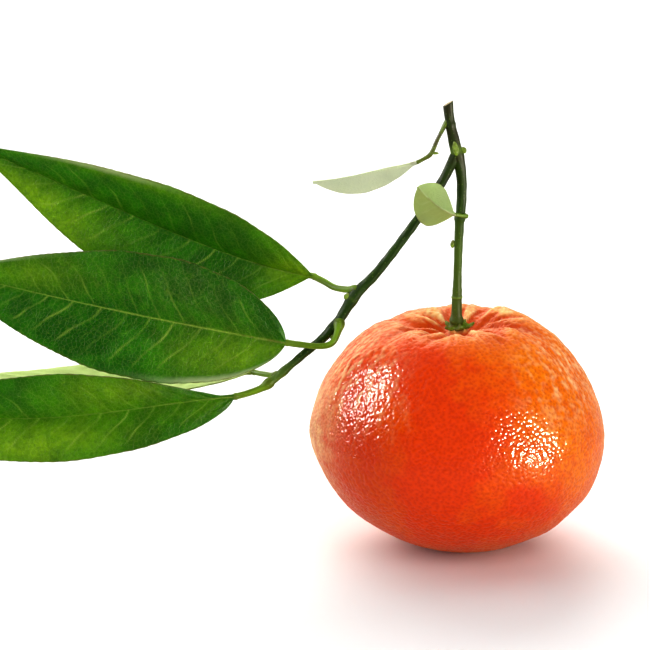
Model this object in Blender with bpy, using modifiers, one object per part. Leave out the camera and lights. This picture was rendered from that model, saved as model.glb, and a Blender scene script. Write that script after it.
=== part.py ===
"""A mandarin as picked: the fruit, its calyx and cut stem, and a leafy side twig.

Lengths are in metres. The origin is the centre of the flat spot the fruit rests on, +Z is up,
and the leafy twig reaches out towards -X.
"""

import math

import bmesh
import bpy
from mathutils import Matrix, Vector

MM = 0.001
GAP = 0.3 * MM  # left between neighbouring solids
JOINT_GAP = 0.4 * MM  # left between a petiole and its blade

# Fruit: an oblate body with a broad stem basin and a flat spot underneath.
FRUIT_RADIUS = 32.5 * MM
FRUIT_UPPER = 28.0 * MM  # equator to the closed top, before the basin is pressed in
FRUIT_LOWER = 27.0 * MM  # equator to the closed bottom, before the flat spot
FLAT_DEPTH = 1.2 * MM  # how much the flat spot takes off the bottom
FRUIT_CENTRE_X = -1.9 * MM
FRUIT_DEPTH_RATIO = 0.98  # front to back against side to side
FRUIT_LEAN = -0.072  # sideways shift of the body for each metre of height
LEAN_RADIUS = 18.0 * MM  # inside this the crown leans less, so the basin stays over the base
FRUIT_TILT = 0.09  # rise of the right shoulder over the left
BASIN_DEPTH = 5.6 * MM
BASIN_RADIUS = 10.5 * MM
LOBES = 9
LOBE_DEPTH = 0.35 * MM
FRUIT_SEGMENTS = 54
FRUIT_RINGS = 26

CALYX_RADIUS = 2.7 * MM
CALYX_THICKNESS = 0.9 * MM
CALYX_LOBES = 5

BLADE_THICKNESS = 0.45 * MM
BLADE_TAIL = 0.5 * MM  # half width of a blade at its two ends

# Each route lists hand-placed points as x, y, z and radius, in millimetres.
STEM_ROUTE = [
    (-2.3, 0.0, 50.2, 1.15),
    (-2.3, 0.0, 54.0, 1.10),
    (-2.2, 0.0, 59.5, 0.90),
    (-2.1, 0.0, 65.5, 0.90),
    (-1.9, 0.0, 71.5, 1.00),
    (-1.5, 0.0, 76.5, 1.05),
    (-1.6, 0.0, 82.0, 1.10),
    (-2.4, 0.0, 86.0, 1.30),
    (-3.3, 0.4, 89.8, 1.20),
    (-4.1, 0.8, 93.4, 1.05),
    (-4.6, 1.0, 97.5, 1.05),
]
TWIG_ROUTE = [
    (-2.6, 0.0, 86.9, 1.00),
    (-5.9, -1.0, 80.6, 1.00),
    (-11.1, -2.0, 72.7, 0.95),
    (-19.3, -4.0, 62.1, 1.00),
    (-24.2, -5.0, 57.0, 1.15),
    (-27.9, -6.0, 51.4, 1.05),
    (-30.9, -7.0, 48.2, 0.95),
    (-35.4, -7.8, 44.5, 0.85),
    (-39.9, -9.0, 40.8, 0.80),
    (-42.5, -10.0, 38.8, 0.80),
]

# Each leaf: its petiole's route, the midrib's Bezier handles, the way the upper face looks at the base
# and at the tip, and for each half its widest measure, the exponents towards base and tip, and in degrees
# its fold at the midrib and how far it curls back by the margin. Waves are how far the margin swings.
LEAVES = {
    "upper": {
        "petiole": [(-23.6, -5.0, 58.0, 0.65), (-26.0, -3.0, 57.6, 0.62), (-28.7, 0.0, 57.3, 0.60),
                    (-31.0, 2.4, 58.0, 0.62)],
        "midrib": [(-33.4, 4.0, 58.8), (-52.7, 6.5, 61.0), (-82.0, 11.0, 76.0), (-110.0, 10.0, 87.6)],
        "facing": [(0.0, -1.0, 0.20), (0.0, -1.0, 0.35)],
        "up_half": (12.0, 0.88, 1.30, 60.0, 38.0),
        "down_half": (14.2, 1.20, 1.50, 14.0, 14.0),
        "waves": (0.5, 2.0, 0.3),
    },
    "middle": {
        "petiole": [(-27.6, -6.4, 51.6, 0.70), (-28.2, -8.6, 49.4, 0.66), (-29.2, -10.0, 47.7, 0.60),
                    (-31.2, -10.2, 47.0, 0.58), (-34.0, -9.6, 46.9, 0.58), (-36.6, -8.8, 47.0, 0.62)],
        "midrib": [(-39.3, -8.0, 47.1), (-70.0, -5.5, 52.0), (-90.0, -5.0, 56.6), (-114.0, -4.0, 62.4)],
        "facing": [(0.0, -1.0, 0.12), (0.0, -1.0, 0.35)],
        "up_half": (14.0, 0.57, 1.15, 20.0, 18.0),
        "down_half": (13.8, 0.61, 1.00, 18.0, 16.0),
        "waves": (0.5, 2.5, 1.4),
    },
    "lower": {
        "petiole": [(-42.2, -9.8, 39.1, 0.66), (-44.2, -10.4, 37.8, 0.64), (-47.0, -10.9, 36.8, 0.60)],
        "midrib": [(-50.3, -12.0, 36.2), (-69.7, -14.0, 35.8), (-104.0, -16.0, 25.5),
                   (-129.0, -15.0, 40.0)],
        "facing": [(0.0, -1.0, 0.25), (0.0, -1.0, 0.25)],
        "up_half": (10.5, 1.70, 1.50, 38.0, 22.0),
        "down_half": (9.9, 0.62, 0.60, 28.0, 20.0),
        "waves": (0.4, 2.0, 2.6),
    },
    "rear": {
        "petiole": [(-40.6, -9.2, 40.2, 0.52), (-41.8, -7.6, 39.7, 0.50), (-43.6, -5.0, 39.2, 0.50)],
        "midrib": [(-46.4, -2.0, 39.1), (-60.7, 3.0, 36.0), (-86.0, 9.0, 30.5), (-113.0, 12.0, 34.0)],
        "facing": [(0.0, -0.22, 1.0), (0.0, -0.22, 1.0)],
        "up_half": (9.6, 0.80, 1.00, 12.0, 14.0),
        "down_half": (9.6, 0.80, 1.00, 14.0, 14.0),
        "waves": (0.4, 2.0, 0.9),
    },
    "top": {
        "petiole": [(-4.4, 0.8, 94.2, 0.42), (-5.4, 0.4, 92.6, 0.38), (-6.8, -0.1, 89.9, 0.36),
                    (-8.2, -0.6, 86.9, 0.42), (-9.6, -0.8, 85.9, 0.34)],
        "midrib": [(-11.3, -1.0, 85.0), (-21.0, -2.0, 83.4), (-26.0, -3.0, 81.9), (-33.4, -4.0, 81.5)],
        "facing": [(0.0, -1.0, 0.0), (0.0, -1.0, 0.0)],
        "up_half": (3.2, 0.80, 1.20, -106.0, 0.0),
        "down_half": (4.1, 0.90, 0.95, 30.0, 10.0),
        "waves": (0.12, 2.0, 0.0),
    },
    "young": {
        "petiole": [(-0.8, -0.4, 73.4, 0.38), (-0.6, -1.8, 73.5, 0.34), (-1.6, -2.6, 73.8, 0.32)],
        "midrib": [(-3.1, -3.4, 74.2), (-5.0, -5.6, 75.3), (-8.6, -6.4, 77.5), (-11.0, -6.8, 81.1)],
        "facing": [(0.1, -1.0, 0.0), (0.1, -1.0, 0.0)],
        "up_half": (4.2, 1.10, 0.65, -34.0, -16.0),
        "down_half": (6.2, 0.62, 0.90, -38.0, -16.0),
        "waves": (0.12, 1.5, 0.5),
    },
}
SMALL_LEAVES = ("top", "young")

# Each bud: its centre and its half sizes, in millimetres, its lean in degrees, and the tube it sits on.
BUDS = {
    "bud_fork": ((-3.0, -1.40, 88.2), (0.60, 0.55, 1.60), -12.0, "stem"),
    "bud_stem_right": ((-1.2, -0.1, 87.6), (0.55, 0.50, 0.75), -25.0, "stem"),
    "bud_stem_left": ((-3.3, 0.0, 67.0), (0.45, 0.50, 0.90), 5.0, "stem"),
    "bud_axil_upper": ((-26.1, -5.4, 56.7), (0.60, 0.55, 0.80), 30.0, "twig"),
    "bud_axil_middle": ((-29.0, -7.2, 48.3), (0.55, 0.55, 0.80), 40.0, "twig"),
    "spur_top": ((-7.3, -0.4, 87.0), (0.75, 0.35, 0.30), 0.0, "top_petiole"),
}

COLOURS = {
    "peel": ((0.88, 0.17, 0.01, 1.0), 0.32),
    "calyx_green": ((0.20, 0.30, 0.07, 1.0), 0.70),
    "bark": ((0.12, 0.17, 0.04, 1.0), 0.60),
    "petiole_green": ((0.25, 0.40, 0.05, 1.0), 0.45),
    "leaf_dark": ((0.06, 0.22, 0.01, 1.0), 0.35),
    "leaf_pale": ((0.58, 0.66, 0.42, 1.0), 0.50),
    "leaf_young_green": ((0.40, 0.55, 0.20, 1.0), 0.50),
    "bud_green": ((0.22, 0.28, 0.08, 1.0), 0.65),
}


def clear_scene():
    for existing in list(bpy.data.objects):
        bpy.data.objects.remove(existing, do_unlink=True)


def new_collection(name):
    collection = bpy.data.collections.new(name)
    bpy.context.scene.collection.children.link(collection)
    return collection


def make_material(name):
    colour, roughness = COLOURS[name]
    material = bpy.data.materials.new(name)
    material.use_nodes = True
    shader = material.node_tree.nodes["Principled BSDF"]
    shader.inputs["Base Color"].default_value = colour
    shader.inputs["Roughness"].default_value = roughness
    shader.inputs["Metallic"].default_value = 0.0
    return material


def object_from_bmesh(bm, name, collection, material=None):
    mesh = bpy.data.meshes.new(name)
    bmesh.ops.recalc_face_normals(bm, faces=bm.faces)
    bm.to_mesh(mesh)
    bm.free()
    mesh.shade_smooth()
    item = bpy.data.objects.new(name, mesh)
    if material is not None:
        item.data.materials.append(material)
    collection.objects.link(item)
    return item


def in_metres(point):
    return Vector(point[:3]) * MM


def spline_samples(route, steps):
    """Points and radii along a Catmull-Rom curve through a route, in metres."""
    knots = [Vector(point) * MM for point in route]
    knots.insert(0, knots[0] * 2.0 - knots[1])
    knots.append(knots[-1] * 2.0 - knots[-2])
    samples = []
    for index in range(1, len(knots) - 2):
        before, start, end, after = knots[index - 1:index + 3]
        for step in range(steps):
            t = step / steps
            samples.append(0.5 * (
                2.0 * start
                + (end - before) * t
                + (2.0 * before - 5.0 * start + 4.0 * end - after) * t ** 2
                + (3.0 * start - before - 3.0 * end + after) * t ** 3
            ))
    samples.append(knots[-2])
    return samples


def make_tube(name, route, collection, material=None, steps=3, grow=0.0):
    """A closed tube along a route of four-number points; grow enlarges it all round for a cutter."""
    samples = spline_samples([Vector(point) for point in route], steps)
    if grow > 0.0:
        first = (samples[0] - samples[1]).xyz.normalized() * grow
        last = (samples[-1] - samples[-2]).xyz.normalized() * grow
        samples[0] = Vector((*(samples[0].xyz + first), samples[0].w))
        samples[-1] = Vector((*(samples[-1].xyz + last), samples[-1].w))
    curve = bpy.data.curves.new(name, "CURVE")
    curve.dimensions = "3D"
    curve.bevel_depth = MM
    curve.bevel_resolution = 2
    curve.use_fill_caps = True
    spline = curve.splines.new("POLY")
    spline.points.add(len(samples) - 1)
    for point, sample in zip(spline.points, samples):
        point.co = (*sample.xyz, 1.0)
        point.radius = (sample.w + grow) / MM
    wire = bpy.data.objects.new(name + "_wire", curve)
    collection.objects.link(wire)
    bpy.context.view_layer.update()
    evaluated = wire.evaluated_get(bpy.context.evaluated_depsgraph_get())
    bm = bmesh.new()
    mesh = bpy.data.meshes.new_from_object(evaluated)
    bm.from_mesh(mesh)
    bmesh.ops.remove_doubles(bm, verts=bm.verts, dist=0.01 * MM)
    bpy.data.objects.remove(wire, do_unlink=True)
    bpy.data.meshes.remove(mesh)
    tube = object_from_bmesh(bm, name, collection, material)
    return tube


def make_cutter(name, route, collection):
    cutter = make_tube(name, route, collection, grow=GAP)
    cutter.hide_render = True
    cutter.display_type = "WIRE"
    return cutter


def cut(item, cutter):
    boolean = item.modifiers.new("cut_" + cutter.name, "BOOLEAN")
    boolean.operation = "DIFFERENCE"
    boolean.solver = "EXACT"
    boolean.object = cutter


def fruit_point(latitude, longitude):
    """A point on the fruit: latitude from -90 degrees at the bottom to 90 at the top, in radians."""
    upper = latitude >= 0.0
    across = max(math.cos(latitude), 0.0) ** (0.89 if upper else 1.02)
    radius = FRUIT_RADIUS * across
    if upper:
        rise = FRUIT_UPPER * math.sin(latitude) ** 1.3
        rise -= BASIN_DEPTH * math.exp(-((radius / BASIN_RADIUS) ** 2))
    else:
        rise = -FRUIT_LOWER * math.sin(-latitude)
    crown = max(math.sin(latitude), 0.0) * min(radius / BASIN_RADIUS, 1.0)
    radius += LOBE_DEPTH * math.cos(LOBES * longitude) * crown
    x = radius * math.cos(longitude)
    y = radius * math.sin(longitude) * FRUIT_DEPTH_RATIO
    rise += FRUIT_TILT * x * max(rise, 0.0) / FRUIT_UPPER
    lean = FRUIT_LEAN * min(radius / LEAN_RADIUS, 1.0) if upper else FRUIT_LEAN
    x += FRUIT_CENTRE_X + lean * rise
    z = rise + FRUIT_LOWER - FLAT_DEPTH
    return Vector((x, y, max(z, 0.0)))


def crown_height(offset):
    """Height of the basin's floor at a small distance from the fruit's axis."""
    latitude = math.acos((offset / FRUIT_RADIUS) ** (1.0 / 0.89))
    return fruit_point(latitude, 0.5 * math.pi).z


def make_fruit(collection, material):
    bm = bmesh.new()
    bmesh.ops.create_uvsphere(bm, u_segments=FRUIT_SEGMENTS, v_segments=FRUIT_RINGS, radius=1.0)
    for vertex in bm.verts:
        latitude = math.asin(max(-1.0, min(1.0, vertex.co.z)))
        crowded = latitude + 0.25 * math.sin(2.0 * latitude)  # rings closer together at both poles
        longitude = math.atan2(vertex.co.y, vertex.co.x)
        vertex.co = fruit_point(crowded, longitude)
    return object_from_bmesh(bm, "fruit", collection, material)


def make_calyx(collection, material):
    """A low five-lobed cushion that follows the floor of the stem basin."""
    axis = fruit_point(0.5 * math.pi, 0.0)
    bm = bmesh.new()
    bmesh.ops.create_uvsphere(bm, u_segments=30, v_segments=6, radius=1.0)
    for vertex in bm.verts:
        angle = math.atan2(vertex.co.y, vertex.co.x)
        lobe = 1.0 + 0.22 * math.cos(CALYX_LOBES * angle)
        offset = CALYX_RADIUS * lobe * math.hypot(vertex.co.x, vertex.co.y)
        lift = 2.0 * GAP + 0.5 * CALYX_THICKNESS * (1.0 + vertex.co.z)
        tilt = FRUIT_TILT * offset * math.cos(angle)
        vertex.co = Vector((
            axis.x + offset * math.cos(angle),
            axis.y + offset * math.sin(angle),
            crown_height(offset) + tilt + lift,
        ))
    return object_from_bmesh(bm, "calyx", collection, material)


def bezier(handles, t):
    start, first, second, end = handles
    s = 1.0 - t
    return start * s ** 3 + first * (3.0 * s * s * t) + second * (3.0 * s * t * t) + end * t ** 3


def bezier_direction(handles, t):
    start, first, second, end = handles
    s = 1.0 - t
    slope = (first - start) * s * s + (second - first) * (2.0 * s * t) + (end - second) * t * t
    return slope.normalized()


def half_width(half, t):
    """Half width of a blade at t along its midrib, from 0 at the base to 1 at the tip."""
    widest, base_power, tip_power = half[:3]
    peak = base_power / (base_power + tip_power)
    scale = peak ** base_power * (1.0 - peak) ** tip_power
    return max(widest * MM * t ** base_power * (1.0 - t) ** tip_power / scale, BLADE_TAIL)


def half_section(fold, curl, u):
    """A half blade's cross-section: an arc of length 1 that leaves the midrib at the fold and curls back."""
    if abs(curl) < 0.001:
        return u * math.cos(fold), u * math.sin(fold)
    angle = fold - curl * u
    return (math.sin(fold) - math.sin(angle)) / curl, (math.cos(angle) - math.cos(fold)) / curl


def blade_point(leaf, t, s):
    """A point on a blade's middle sheet; s runs from -1 at the lower edge to 1 at the upper edge."""
    handles = [in_metres(point) for point in leaf["midrib"]]
    along = bezier_direction(handles, t)
    base_facing, tip_facing = (Vector(way) for way in leaf["facing"])
    side = along.cross(base_facing.lerp(tip_facing, t)).normalized()
    outward = side.cross(along)
    half = leaf["up_half"] if s >= 0.0 else leaf["down_half"]
    sideways, forwards = half_section(math.radians(half[3]), math.radians(half[4]), abs(s))
    width = half_width(half, t)
    swing, count, phase = leaf["waves"]
    ripple = swing * MM * s * s * math.sin(math.pi * t) * math.sin(2.0 * math.pi * count * t + phase * s)
    across = side * math.copysign(sideways * width, s) + outward * (forwards * width + ripple)
    return bezier(handles, t) + across


def make_blade(name, leaf, stations, columns, collection, material):
    """An open folded sheet, given its thickness by Solidify."""
    bm = bmesh.new()
    rows = []
    for station in range(stations + 1):
        t = 0.5 - 0.5 * math.cos(math.pi * station / stations)
        row = []
        for column in range(-columns, columns + 1):
            row.append(bm.verts.new(blade_point(leaf, t, column / columns)))
        rows.append(row)
    for here, ahead in zip(rows, rows[1:]):
        for column in range(2 * columns):
            bm.faces.new((here[column], here[column + 1], ahead[column + 1], ahead[column]))
    blade = object_from_bmesh(bm, name, collection, material)
    solidify = blade.modifiers.new("thickness", "SOLIDIFY")
    solidify.thickness = BLADE_THICKNESS
    solidify.offset = 0.0
    return blade


def make_leaf(key, leaf, collection, materials, stem_cutters):
    """A blade and its petiole, which stops just short of the blade."""
    handles = [in_metres(point) for point in leaf["midrib"]]
    join = (handles[0] - bezier_direction(handles, 0.0) * JOINT_GAP) / MM
    route = leaf["petiole"] + [(*join, leaf["petiole"][-1][3])]
    petiole = make_tube("petiole_" + key, route, collection, materials["petiole_green"], steps=2)
    cut(petiole, stem_cutters["stem" if key in SMALL_LEAVES else "twig"])
    shade = {"rear": "leaf_pale", "top": "leaf_pale", "young": "leaf_young_green"}.get(key, "leaf_dark")
    stations, columns = (12, 3) if key in SMALL_LEAVES else (20, 4)
    make_blade("leaf_" + key, leaf, stations, columns, collection, materials[shade])


def make_bud(name, collection, material, stem_cutters):
    """A small pointed bud, trimmed where it meets the bark."""
    centre, sizes, lean, host = BUDS[name]
    angle = math.radians(lean)
    bm = bmesh.new()
    bmesh.ops.create_uvsphere(bm, u_segments=10, v_segments=8, radius=1.0)
    for vertex in bm.verts:
        scaled = vertex.co * Vector(sizes)
        vertex.co = (Vector(centre) + Matrix.Rotation(angle, 3, "Y") @ scaled) * MM
    bud = object_from_bmesh(bm, name, collection, material)
    cut(bud, stem_cutters[host])


def main():
    clear_scene()
    part = new_collection("mandarin")
    helpers = new_collection("cutters")
    materials = {name: make_material(name) for name in COLOURS}
    cutters = {
        "stem": make_cutter("stem_cutter", STEM_ROUTE, helpers),
        "twig": make_cutter("twig_cutter", TWIG_ROUTE, helpers),
        "top_petiole": make_cutter("top_petiole_cutter", LEAVES["top"]["petiole"], helpers),
    }
    make_fruit(part, materials["peel"])
    make_calyx(part, materials["calyx_green"])
    make_tube("main_stem", STEM_ROUTE, part, materials["bark"])
    twig = make_tube("side_twig", TWIG_ROUTE, part, materials["bark"])
    cut(twig, cutters["stem"])
    for key, leaf in LEAVES.items():
        make_leaf(key, leaf, part, materials, cutters)
    for name in BUDS:
        make_bud(name, part, materials["bud_green"], cutters)


main()
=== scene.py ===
"""The looks of a mandarin on its leafy twig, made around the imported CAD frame.

Lengths are in metres, +Z is up, and every piece lies where its CAD node lies. The fruit, the stem,
the twig, the petioles, the blades, the calyx and the buds are each made again here as a fine mesh
with a procedural material.
"""

import math

import bmesh
import bpy
import numpy as np
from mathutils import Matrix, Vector, kdtree


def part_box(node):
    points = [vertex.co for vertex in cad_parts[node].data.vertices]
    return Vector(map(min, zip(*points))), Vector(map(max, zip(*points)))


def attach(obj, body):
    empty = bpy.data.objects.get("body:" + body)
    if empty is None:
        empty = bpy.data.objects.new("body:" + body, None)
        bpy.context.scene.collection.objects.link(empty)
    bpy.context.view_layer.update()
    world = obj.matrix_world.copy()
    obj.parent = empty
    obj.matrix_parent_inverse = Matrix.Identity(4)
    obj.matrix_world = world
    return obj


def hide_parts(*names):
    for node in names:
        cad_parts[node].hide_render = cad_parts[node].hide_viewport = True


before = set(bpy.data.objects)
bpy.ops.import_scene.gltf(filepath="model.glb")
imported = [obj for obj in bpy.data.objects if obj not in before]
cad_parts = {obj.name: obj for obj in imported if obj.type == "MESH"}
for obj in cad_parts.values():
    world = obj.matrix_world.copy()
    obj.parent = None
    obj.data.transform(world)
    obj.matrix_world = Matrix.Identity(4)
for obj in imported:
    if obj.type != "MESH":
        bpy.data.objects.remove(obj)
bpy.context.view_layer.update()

MM = 0.001
UP = np.array([0.0, 0.0, 1.0])

# The fruit's plain form, as in the CAD part.
FRUIT_RADIUS = 32.5 * MM
FRUIT_UPPER = 28.0 * MM
FRUIT_LOWER = 27.0 * MM
FLAT_DEPTH = 1.2 * MM
FRUIT_CENTRE_X = -1.9 * MM
FRUIT_DEPTH_RATIO = 0.98
FRUIT_LEAN = -0.072
LEAN_RADIUS = 18.0 * MM
FRUIT_TILT = 0.09
BASIN_DEPTH = 5.6 * MM
BASIN_RADIUS = 10.5 * MM
LOBES = 9
LOBE_DEPTH = 0.35 * MM

# The peel's own relief. Each swell has a wavelength and a height.
PEEL_SUBDIVISIONS = 8
PEEL_SINK = 0.15 * MM
GLAND_COUNT = 15500
GLAND_RADIUS = 0.34 * MM
GLAND_DEPTH = 0.17 * MM
GLAND_SHAKE = 0.0078
SWELLS = ((14.0 * MM, 0.13 * MM), (5.0 * MM, 0.030 * MM), (1.6 * MM, 0.008 * MM))
PUCKER_DEPTH = 1.3 * MM
STREAK_HEIGHT = 0.20 * MM
STREAK_RING = 11.0 * MM
SCAR_RADIUS = 1.5 * MM
SCAR_DEPTH = 0.5 * MM
CROWN_REACH = 12.8 * MM
SHOULDER_REACH = 18.0 * MM

# The peel's colours, from the bottom layer up.
PEEL_RED = (0.80, 0.064, 0.0003)
# Also painted light: the right and upper side of the fruit is mixed towards this yellow, besides the random
# yellow patches.
PEEL_YELLOW = (0.93, 0.265, 0.003)
# Painted shade: a darker red low on the fruit's left side.
PEEL_LOW_LEFT_SHADE = (0.52, 0.046, 0.0004)
# Painted rim light: a pale cream-orange along the fruit's far left edge.
PEEL_LEFT_RIM_LIGHT = (0.98, 0.700, 0.330)
PEEL_MOTTLE = (0.76, 0.050, 0.0003)
# Painted sheen of the overhead light: pale cream-orange on the crown round the stem.
PEEL_CROWN_SHEEN = (0.94, 0.640, 0.210)
# Painted shade: a darker orange-red in the folds round the stem and in dark strokes over the shoulder.
PEEL_FOLD_SHADE = (0.64, 0.075, 0.0003)
# Painted highlights: cream on the fine ridges round the stem and over the left shoulder.
PEEL_RIDGE_HIGHLIGHT = (0.98, 0.780, 0.400)
PEEL_SPECK = (0.62, 0.030, 0.0003)
PEEL_GLAND = (0.52, 0.022, 0.0003)

# Puckers round the stem: direction in degrees, where each starts and ends, its depth and its width.
PUCKERS = (
    (8, 2.5, 15.0, 1.25, 0.9), (31, 3.0, 12.0, 0.80, 0.7), (52, 3.5, 17.0, 1.00, 1.1),
    (80, 3.0, 12.0, 0.85, 0.8), (104, 3.0, 16.0, 1.05, 1.0), (133, 3.5, 13.0, 0.75, 0.8),
    (158, 2.5, 17.0, 1.30, 1.0), (178, 3.0, 13.0, 0.90, 0.7), (199, 2.8, 19.0, 1.20, 1.0),
    (223, 3.2, 14.0, 0.85, 0.9), (244, 3.0, 17.0, 1.00, 0.8), (262, 3.5, 12.0, 0.85, 0.7),
    (281, 2.8, 15.0, 1.00, 0.9), (303, 3.0, 18.0, 1.10, 1.0), (322, 3.0, 13.0, 0.95, 0.7),
    (341, 2.6, 20.0, 1.35, 1.1),
)

CALYX_RADIUS = 2.9 * MM
CALYX_THICKNESS = 0.9 * MM
CALYX_LOBES = 5
CALYX_SINK = 0.25 * MM

# Each route lists points as x, y, z and radius, in millimetres, as in the CAD part.
STEM_ROUTE = [
    (-2.3, 0.0, 49.3, 1.15),
    (-2.3, 0.0, 54.0, 1.10),
    (-2.2, 0.0, 59.5, 0.90),
    (-2.1, 0.0, 65.5, 0.90),
    (-1.9, 0.0, 71.5, 1.00),
    (-1.5, 0.0, 76.5, 1.05),
    (-1.6, 0.0, 82.0, 1.10),
    (-2.4, 0.0, 86.0, 1.30),
    (-3.3, 0.4, 89.8, 1.20),
    (-4.1, 0.8, 93.4, 1.05),
    (-4.6, 1.0, 97.5, 1.05),
]
TWIG_ROUTE = [
    (-2.6, 0.0, 86.9, 1.00),
    (-5.9, -1.0, 80.6, 1.00),
    (-11.1, -2.0, 72.7, 0.95),
    (-19.3, -4.0, 62.1, 1.00),
    (-24.2, -5.0, 57.0, 1.15),
    (-27.9, -6.0, 51.4, 1.05),
    (-30.9, -7.0, 48.2, 0.95),
    (-35.4, -7.8, 44.5, 0.85),
    (-39.9, -9.0, 40.8, 0.80),
    (-42.5, -10.0, 38.8, 0.80),
]

# Colours of a leaf's finer marks, among them its painted glints and its painted rim light, and the
# two colours of freshly cut wood.
LEAF_GLINT = (0.24, 0.38, 0.09)
# Painted rim light along rolled margins.
LEAF_RIM_LIGHT = (0.55, 0.66, 0.34)
LEAF_WORN_EDGE = (0.20, 0.17, 0.04)
RIB_BROWN = (0.24, 0.17, 0.045)
CUT_WOOD = ((0.42, 0.36, 0.20), (0.26, 0.20, 0.10))

# Each leaf as in the CAD part, with its number of lateral veins, the places where light through the
# blade is painted on as a yellower green, or painted shade as deeper green below 0 (along, across,
# reach along, reach across, strength), how strong its patch of painted glints is, the stretches where
# its margin rolls back, or forwards below 0, and is painted pale as a rim light (along, reach, side,
# roll in millimetres), and whether its under side is in front.
LEAVES = {
    "upper": {
        "petiole": [(-23.6, -5.0, 58.0, 0.65), (-26.0, -3.0, 57.6, 0.62), (-28.7, 0.0, 57.3, 0.60),
                    (-31.0, 2.4, 58.0, 0.62)],
        "midrib": [(-33.4, 4.0, 58.8), (-52.7, 6.5, 61.0), (-82.0, 11.0, 76.0), (-110.0, 10.0, 87.6)],
        "facing": [(0.0, -1.0, 0.20), (0.0, -1.0, 0.35)],
        "up_half": (12.0, 0.88, 1.30, 60.0, 38.0),
        "down_half": (14.2, 1.20, 1.50, 14.0, 14.0),
        "waves": (0.5, 2.0, 0.3),
        "veins": 13,
        "glows": [(0.76, -0.80, 0.20, 0.62, 1.0), (0.05, -0.05, 0.11, 1.10, 1.1),
                  (0.55, 0.95, 0.30, 0.16, 0.5)],
        "painted_glints": 0.25,
        "rims": [(0.66, 0.14, 1.0, -0.8)],
    },
    "middle": {
        "petiole": [(-27.6, -6.4, 51.6, 0.70), (-28.2, -8.6, 49.4, 0.66), (-29.2, -10.0, 47.7, 0.60),
                    (-31.2, -10.2, 47.0, 0.58), (-34.0, -9.6, 46.9, 0.58), (-36.6, -8.8, 47.0, 0.62)],
        "midrib": [(-39.3, -8.0, 47.1), (-70.0, -5.5, 52.0), (-90.0, -5.0, 56.6), (-114.0, -4.0, 62.4)],
        "facing": [(0.0, -1.0, 0.12), (0.0, -1.0, 0.35)],
        "up_half": (14.0, 0.57, 1.15, 20.0, 18.0),
        "down_half": (13.8, 0.61, 1.00, 18.0, 16.0),
        "waves": (0.5, 2.5, 1.4),
        "veins": 14,
        "glows": [(0.10, -0.50, 0.17, 0.50, 0.8), (0.74, 0.50, 0.18, 0.50, 0.5),
                  (0.60, -0.55, 0.16, 0.40, -0.8)],
        "painted_glints": 0.85,
        "rims": [(0.17, 0.15, -1.0, -0.7), (0.95, 0.2, 1.0, 0.3)],
    },
    "lower": {
        "petiole": [(-42.2, -9.8, 39.1, 0.66), (-44.2, -10.4, 37.8, 0.64), (-47.0, -10.9, 36.8, 0.60)],
        "midrib": [(-50.3, -12.0, 36.2), (-69.7, -14.0, 35.8), (-104.0, -16.0, 25.5),
                   (-129.0, -15.0, 40.0)],
        "facing": [(0.0, -1.0, 0.25), (0.0, -1.0, 0.25)],
        "up_half": (10.5, 1.70, 1.50, 38.0, 22.0),
        "down_half": (9.9, 0.62, 0.60, 28.0, 20.0),
        "waves": (0.4, 2.0, 2.6),
        "veins": 13,
        "glows": [(0.58, -0.60, 0.22, 0.50, 1.0), (0.34, 0.60, 0.16, 0.60, 0.7),
                  (0.10, -0.30, 0.12, 0.50, 0.3)],
        "painted_glints": 0.2,
        "rims": [(0.05, 0.10, 1.0, 0.4)],
    },
    "rear": {
        "petiole": [(-40.6, -9.2, 40.2, 0.52), (-41.8, -7.6, 39.7, 0.50), (-43.6, -5.0, 39.2, 0.50)],
        "midrib": [(-46.4, -2.0, 39.1), (-60.7, 3.0, 36.0), (-86.0, 9.0, 30.5), (-113.0, 12.0, 34.0)],
        "facing": [(0.0, -0.22, 1.0), (0.0, -0.22, 1.0)],
        "up_half": (9.6, 0.80, 1.00, 12.0, 14.0),
        "down_half": (9.6, 0.80, 1.00, 14.0, 14.0),
        "waves": (0.4, 2.0, 0.9),
        "veins": 12,
        "glows": [(0.50, 0.0, 0.50, 0.55, 1.0)],
        "turned": True,
    },
    "top": {
        "petiole": [(-4.4, 0.8, 94.2, 0.42), (-5.4, 0.4, 92.6, 0.38), (-6.8, -0.1, 89.9, 0.36),
                    (-8.2, -0.6, 86.9, 0.42), (-9.6, -0.8, 85.9, 0.34)],
        "midrib": [(-11.3, -1.0, 85.0), (-21.0, -2.0, 83.4), (-26.0, -3.0, 81.9), (-33.4, -4.0, 81.5)],
        "facing": [(0.0, -1.0, 0.0), (0.0, -1.0, 0.0)],
        "up_half": (3.2, 0.80, 1.20, -106.0, 0.0),
        "down_half": (4.1, 0.90, 0.95, 30.0, 10.0),
        "waves": (0.12, 2.0, 0.0),
        "veins": 9,
        "glows": [(0.30, 0.0, 0.30, 0.55, 1.0)],
        "turned": True,
    },
    "young": {
        "petiole": [(-0.8, -0.4, 73.4, 0.38), (-0.6, -1.8, 73.5, 0.34), (-1.6, -2.6, 73.8, 0.32)],
        "midrib": [(-3.1, -3.4, 74.2), (-5.0, -5.6, 75.3), (-8.6, -6.4, 77.5), (-11.0, -6.8, 81.1)],
        "facing": [(0.1, -1.0, 0.0), (0.1, -1.0, 0.0)],
        "up_half": (4.2, 1.10, 0.65, -34.0, -16.0),
        "down_half": (6.2, 0.62, 0.90, -38.0, -16.0),
        "waves": (0.12, 1.5, 0.5),
        "veins": 6,
        "glows": [(0.85, -0.2, 0.12, 0.55, 1.0)],
        "turned": True,
    },
}
CAPS = (0.93, 0.5, 0.0)  # how far out each of the rings that close a stick's end lies
SMALL_LEAVES = ("top", "young")
PLAIN_LEAF = {"painted_glints": 0.0, "rims": [], "turned": False}
LEAF_SLOTS = {"rear": "leaf_pale", "top": "leaf_pale", "young": "leaf_young_green"}
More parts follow.
